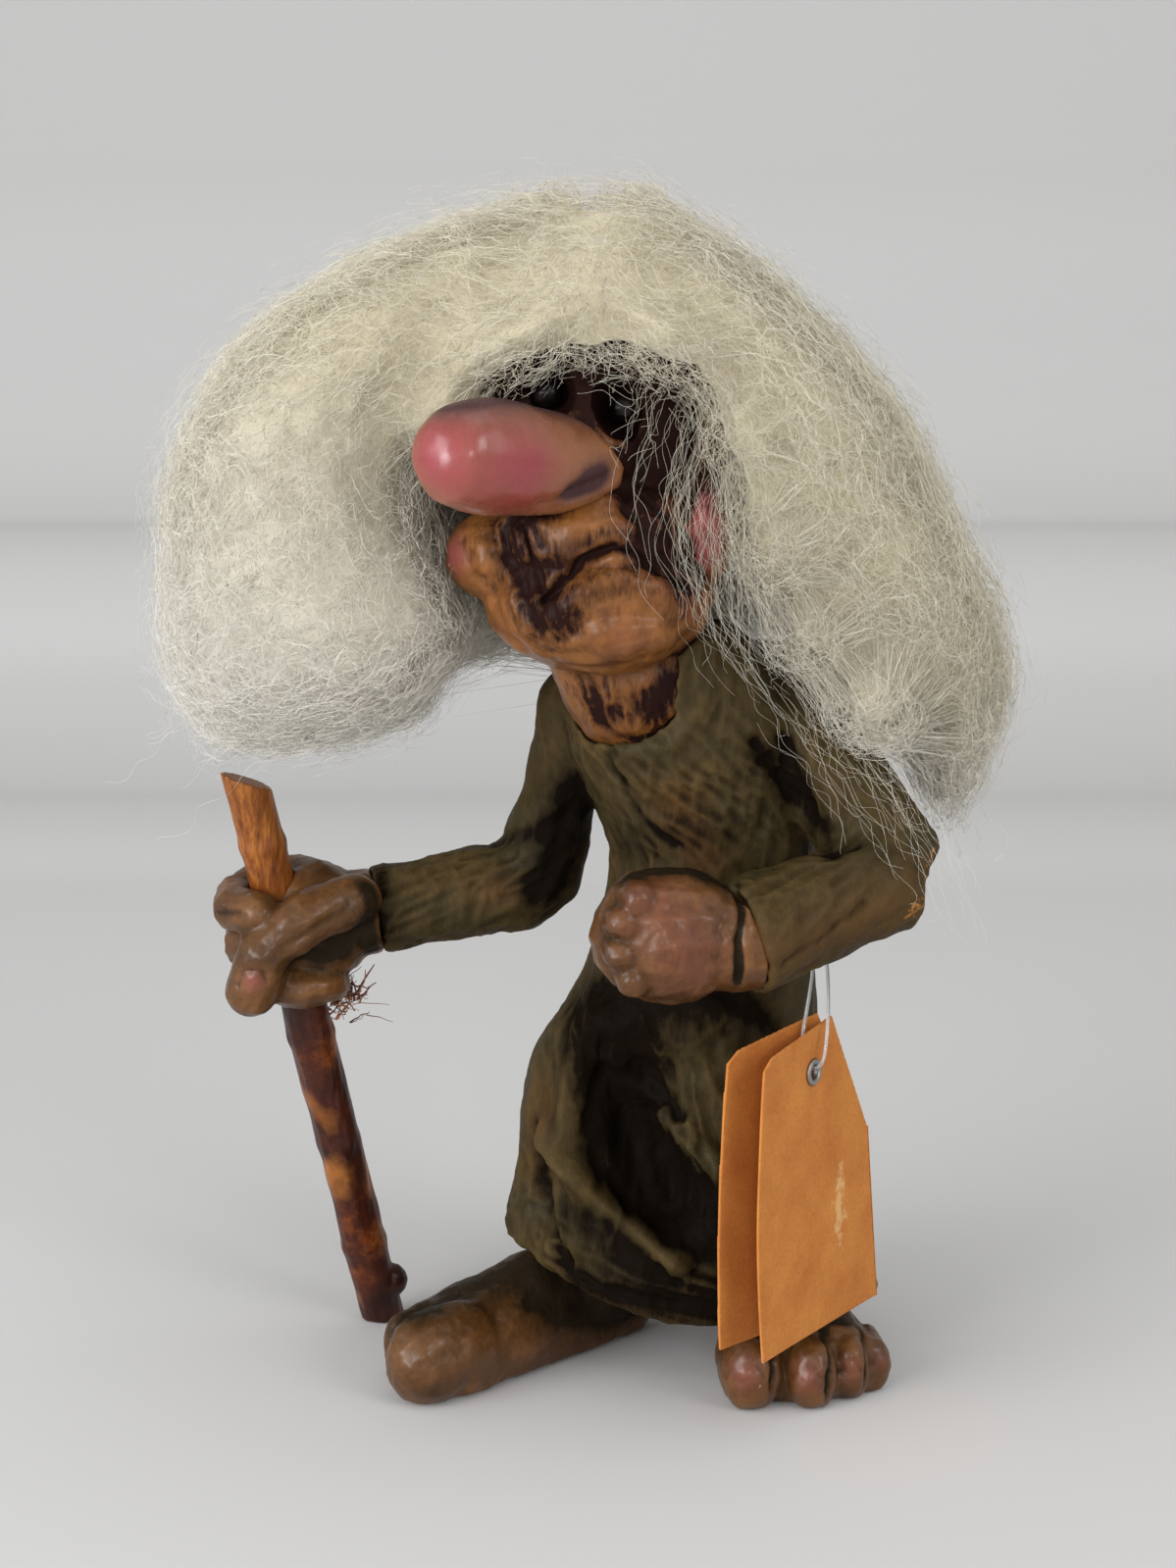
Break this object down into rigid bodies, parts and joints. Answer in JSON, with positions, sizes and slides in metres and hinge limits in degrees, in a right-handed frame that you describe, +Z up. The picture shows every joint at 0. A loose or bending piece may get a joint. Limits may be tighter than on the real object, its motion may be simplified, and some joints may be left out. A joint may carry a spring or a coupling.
{
  "type": "troll figurine",
  "caption": "Standing figure of a bent old folk troll with wild wool hair, long robe and big nose, leaning on a twig stick, with a folded card tag hung from its arm",
  "frame": {"origin": "on the ground under the middle of the figure's bounding box", "axes": "+Z is up, the troll faces -Y, +X is the troll's left side"},
  "size_m": [0.127, 0.089, 0.178],
  "materials": {
    "robe_paint": "olive green paint over a cast figure, darkened with a wash in the folds and rubbed to orange-brown on the ridges",
    "skin_paint": "orange-tan paint over a cast figure with a dark purple-brown wash in the creases, half varnished",
    "nose_varnish": "rose-pink paint under a gloss varnish",
    "eye_gloss": "near-black gloss paint",
    "branch_wood": "a natural twig, bare and varnished at the top, with glossy red-brown bark below the hand",
    "bark_fibre": "torn bark fibres, unfinished",
    "wool": "combed and frizzed natural wool, cream-white",
    "kraft_card": "uncoated kraft card with worn edges",
    "eyelet_metal": "rolled soft metal, dulled",
    "clear_thread": "clear round filament"
  },
  "bodies": {
    "figure": {"robe": "robe_paint", "head": "skin_paint", "nose": "nose_varnish", "left_eye": "eye_gloss", "right_eye": "eye_gloss", "left_sleeve": "robe_paint", "right_sleeve": "robe_paint", "left_hand": "skin_paint", "right_hand": "skin_paint", "left_foot": "skin_paint", "right_foot": "skin_paint", "walking_stick": "branch_wood", "bark_fray": "bark_fibre", "hair_left": "wool", "hair_right": "wool", "hair_crown": "wool", "hair_back": "wool", "tag_loop": "clear_thread"},
    "eyelet": {"tag_eyelet": "eyelet_metal"},
    "front_leaf": {"tag_front_leaf": "kraft_card"},
    "rear_leaf": {"tag_rear_leaf": "kraft_card"}
  },
  "joints": [
    {"name": "tag_twist", "type": "hinge", "parent": "figure", "child": "eyelet", "pos_m": [0.0317, -0.0216, 0.0509], "axis": [0, 0, 1], "range_deg": [-10, 8]},
    {"name": "tag_swing", "type": "hinge", "parent": "eyelet", "child": "front_leaf", "pos_m": [0.0317, -0.0216, 0.0509], "axis": [0.8171, -0.5764, 0], "range_deg": [-4, 6]},
    {"name": "tag_open", "type": "hinge", "parent": "front_leaf", "child": "rear_leaf", "pos_m": [0.04299, -0.00495, 0.01229], "axis": [-0.0786, -0.1114, 0.9907], "range_deg": [-10, 1]}
  ]
}
